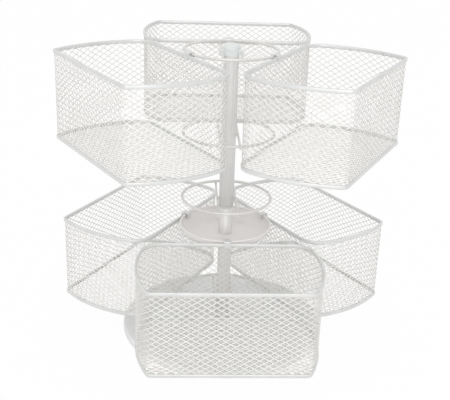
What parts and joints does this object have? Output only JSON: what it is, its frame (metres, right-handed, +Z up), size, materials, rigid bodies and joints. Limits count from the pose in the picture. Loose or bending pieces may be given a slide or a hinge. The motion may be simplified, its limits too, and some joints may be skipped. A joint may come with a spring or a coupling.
{
  "type": "rotating desk organizer",
  "caption": "Rotating desk organizer: open wire mesh baskets hung in tiers that turn on a post over a round base.",
  "frame": {"origin": "on the table under the middle of the round base, on the post's axis", "axes": "+Z up along the post, -Y towards the front lower basket, +X to the right seen from the front"},
  "size_m": [0.3004, 0.272, 0.274],
  "materials": {
    "silver_wire": "satin silver lacquer on round steel wire",
    "silver_band": "satin silver lacquer on steel strip",
    "silver_mesh": "satin silver lacquer on expanded steel mesh",
    "grey_enamel": "satin grey lacquer on pressed sheet",
    "plain_tube": "smooth drawn tube",
    "fluted_tube": "fluted drawn tube",
    "cap_plastic": "moulded, pale blue grey",
    "nylon": "moulded, natural white",
    "zinc_steel": "zinc plated",
    "rubber": "matt"
  },
  "bodies": {
    "base": {"base_plate": "grey_enamel", "base_feet": "rubber", "base_post": "plain_tube", "post_nut": "zinc_steel", "post_pin": "nylon", "base_screw": "zinc_steel", "base_washer": "zinc_steel"},
    "lower_tier": {"lower_sleeve": "plain_tube", "lower_bush_bottom": "nylon", "lower_bush_top": "nylon", "center_dish": "grey_enamel", "lower_ring": "silver_wire", "lower_ring_wires": "silver_wire", "lower_weld_lugs": "silver_wire"},
    "upper_tier": {"upper_sleeve": "fluted_tube", "upper_bush": "nylon", "upper_cap": "cap_plastic", "top_ring": "silver_wire", "top_ring_wires": "silver_wire", "middle_ring": "silver_wire", "middle_ring_wires": "silver_wire", "spare_ring": "silver_wire", "spare_ring_wires": "silver_wire", "upper_weld_lugs": "silver_wire"},
    "upper_rear_basket": {"upper_rear_rim_band": "silver_band", "upper_rear_mesh_wall": "silver_mesh", "upper_rear_bottom_band": "silver_band", "upper_rear_mesh_floor": "silver_mesh", "upper_rear_hook": "silver_band"},
    "upper_left_basket": {"upper_left_rim_band": "silver_band", "upper_left_mesh_wall": "silver_mesh", "upper_left_bottom_band": "silver_band", "upper_left_mesh_floor": "silver_mesh", "upper_left_hook": "silver_band"},
    "upper_right_basket": {"upper_right_rim_band": "silver_band", "upper_right_mesh_wall": "silver_mesh", "upper_right_bottom_band": "silver_band", "upper_right_mesh_floor": "silver_mesh", "upper_right_hook": "silver_band"},
    "lower_front_basket": {"lower_front_rim_band": "silver_band", "lower_front_mesh_wall": "silver_mesh", "lower_front_bottom_band": "silver_band", "lower_front_mesh_floor": "silver_mesh", "lower_front_hook": "silver_band"},
    "lower_left_basket": {"lower_left_rim_band": "silver_band", "lower_left_mesh_wall": "silver_mesh", "lower_left_bottom_band": "silver_band", "lower_left_mesh_floor": "silver_mesh", "lower_left_hook": "silver_band"},
    "lower_right_basket": {"lower_right_rim_band": "silver_band", "lower_right_mesh_wall": "silver_mesh", "lower_right_bottom_band": "silver_band", "lower_right_mesh_floor": "silver_mesh", "lower_right_hook": "silver_band"}
  },
  "joints": [
    {"name": "lower_tier_spin", "type": "hinge", "parent": "base", "child": "lower_tier", "pos_m": [0, 0, 0], "axis": [0, 0, 1], "continuous": true},
    {"name": "upper_tier_spin", "type": "hinge", "parent": "base", "child": "upper_tier", "pos_m": [0, 0, 0], "axis": [0, 0, 1], "continuous": true},
    {"name": "upper_rear_lift", "type": "slide", "parent": "upper_tier", "child": "upper_rear_basket", "axis": [0, 0, 1], "range_m": [0, 0.09]},
    {"name": "upper_left_lift", "type": "slide", "parent": "upper_tier", "child": "upper_left_basket", "axis": [0, 0, 1], "range_m": [0, 0.09]},
    {"name": "upper_right_lift", "type": "slide", "parent": "upper_tier", "child": "upper_right_basket", "axis": [0, 0, 1], "range_m": [0, 0.09]},
    {"name": "lower_front_lift", "type": "slide", "parent": "lower_tier", "child": "lower_front_basket", "axis": [0, 0, 1], "range_m": [0, 0.02]},
    {"name": "lower_left_lift", "type": "slide", "parent": "lower_tier", "child": "lower_left_basket", "axis": [0, 0, 1], "range_m": [0, 0.02]},
    {"name": "lower_right_lift", "type": "slide", "parent": "lower_tier", "child": "lower_right_basket", "axis": [0, 0, 1], "range_m": [0, 0.02]}
  ]
}
